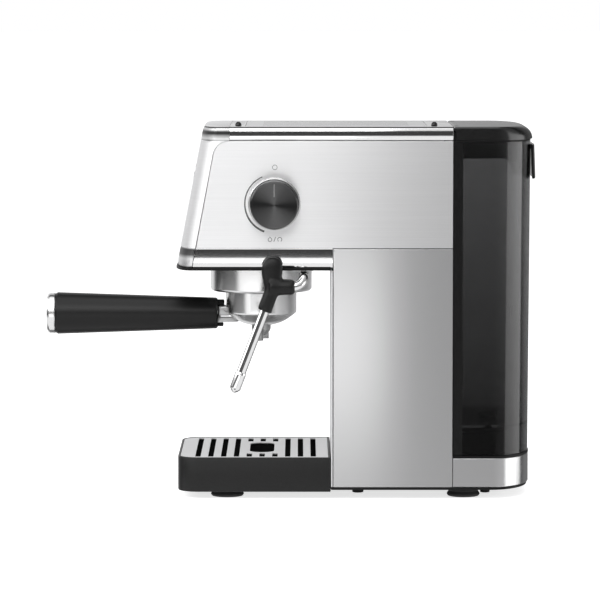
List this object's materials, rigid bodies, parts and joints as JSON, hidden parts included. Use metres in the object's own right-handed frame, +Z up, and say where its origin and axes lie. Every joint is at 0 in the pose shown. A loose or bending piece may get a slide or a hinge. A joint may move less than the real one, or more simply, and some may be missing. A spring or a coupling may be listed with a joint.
{
  "type": "espresso machine",
  "caption": "Slim pump espresso machine with a portafilter under an overhanging head, side steam knob and wand, drip tray and rear water tank.",
  "frame": {"origin": "middle of the whole outline, on the surface that the feet stand on", "axes": "+Z up, +X to the right of a user facing the machine, front and portafilter handle towards -Y"},
  "size_m": [0.167, 0.409, 0.3099],
  "materials": {
    "brushed_steel": "fine horizontal brushing",
    "polished_steel": "polished rails and buttons",
    "chrome": "bright chrome plate",
    "satin_black": "satin moulded black",
    "gloss_black": "gloss moulded black",
    "smoked_tank": "clear smoked plastic, polished",
    "graphite_knob": "dark anodised, spun face",
    "rubber": "matt black rubber",
    "silicone": "milky silicone",
    "cast_aluminium": "as cast",
    "brass": "machined brass",
    "circuit_board": "green solder mask"
  },
  "bodies": {
    "root": {"base_plate": "satin_black", "boiler": "cast_aluminium", "column_front_panel": "brushed_steel", "column_side_panel_left": "brushed_steel", "column_side_panel_right": "brushed_steel", "control_board": "circuit_board", "cord_gland": "satin_black", "cup_plate": "brushed_steel", "foot_front_left": "rubber", "foot_front_right": "rubber", "foot_rear_left": "rubber", "foot_rear_right": "rubber", "front_fascia": "brushed_steel", "group_collar": "chrome", "group_gasket": "rubber", "group_head": "cast_aluminium", "head_bottom_plate": "satin_black", "head_side_panel_left": "brushed_steel", "head_side_panel_right": "brushed_steel", "knob_ring": "brushed_steel", "lower_rail_left": "polished_steel", "lower_rail_right": "polished_steel", "pressure_hose": "silicone", "pump": "satin_black", "pump_bracket": "brushed_steel", "pump_bush": "rubber", "rear_bulkhead": "satin_black", "shower_screen": "brushed_steel", "shower_screw": "brushed_steel", "steam_valve": "brass", "suction_hose": "silicone", "tank_seat": "satin_black", "tank_skirt": "brushed_steel", "top_cover": "polished_steel", "top_pin_front": "satin_black", "top_pin_rear": "satin_black", "wand_bush": "satin_black"},
    "knob": {"steam_knob": "graphite_knob", "knob_spindle": "brushed_steel"},
    "wand": {"wand_elbow": "chrome", "wand_grip": "satin_black", "steam_tube": "chrome", "steam_nozzle": "chrome"},
    "portafilter": {"portafilter_body": "chrome", "filter_basket": "brushed_steel", "twin_spout": "chrome", "handle_grip": "satin_black", "handle_cap": "chrome"},
    "tray": {"drip_tray": "satin_black"},
    "grid": {"drip_grid": "brushed_steel"},
    "tank": {"water_tank": "smoked_tank", "tank_collar": "satin_black", "lid_hinge_pin": "brushed_steel", "tank_handle": "satin_black"},
    "lid": {"tank_lid": "gloss_black"},
    "valve": {"tank_valve": "silicone"},
    "power_button": {"button_power": "polished_steel"},
    "one_cup_button": {"button_one_cup": "polished_steel"},
    "two_cups_button": {"button_two_cups": "polished_steel"},
    "steam_button": {"button_steam": "polished_steel"}
  },
  "joints": [
    {"name": "steam_knob_turn", "type": "hinge", "parent": "root", "child": "knob", "pos_m": [0.0625, -0.01365, 0.2435], "axis": [1, 0, 0], "range_deg": [0, 180]},
    {"name": "steam_wand_swivel", "type": "hinge", "parent": "root", "child": "wand", "pos_m": [0.0475, 0.01035, 0.188], "axis": [0, 0, 1], "range_deg": [0, 50]},
    {"name": "portafilter_twist", "type": "hinge", "parent": "root", "child": "portafilter", "pos_m": [-0.0105, -0.02525, 0.172], "axis": [0, 0, 1], "range_deg": [-45, 0]},
    {"name": "drip_tray_slide", "type": "slide", "parent": "root", "child": "tray", "axis": [0, -1, 0], "range_m": [0, 0.13]},
    {"name": "drip_grid_lift", "type": "slide", "parent": "tray", "child": "grid", "axis": [0, 0, 1], "range_m": [0, 0.03]},
    {"name": "water_tank_lift", "type": "slide", "parent": "root", "child": "tank", "axis": [0, 0, 1], "range_m": [0, 0.28]},
    {"name": "tank_lid_hinge", "type": "hinge", "parent": "tank", "child": "lid", "pos_m": [-0.0105, 0.13535, 0.3046], "axis": [1, 0, 0], "range_deg": [0, 90]},
    {"name": "tank_valve_lift", "type": "slide", "parent": "tank", "child": "valve", "axis": [0, 0, 1], "range_m": [0, 0.003], "stiffness_N_per_m": 200},
    {"name": "power_button_press", "type": "slide", "parent": "root", "child": "power_button", "axis": [0, 0.9819, -0.1895], "range_m": [0, 0.0015], "stiffness_N_per_m": 700},
    {"name": "one_cup_button_press", "type": "slide", "parent": "root", "child": "one_cup_button", "axis": [0, 0.9819, -0.1895], "range_m": [0, 0.0015], "stiffness_N_per_m": 700},
    {"name": "two_cups_button_press", "type": "slide", "parent": "root", "child": "two_cups_button", "axis": [0, 0.9819, -0.1895], "range_m": [0, 0.0015], "stiffness_N_per_m": 700},
    {"name": "steam_button_press", "type": "slide", "parent": "root", "child": "steam_button", "axis": [0, 0.9819, -0.1895], "range_m": [0, 0.0015], "stiffness_N_per_m": 700}
  ]
}
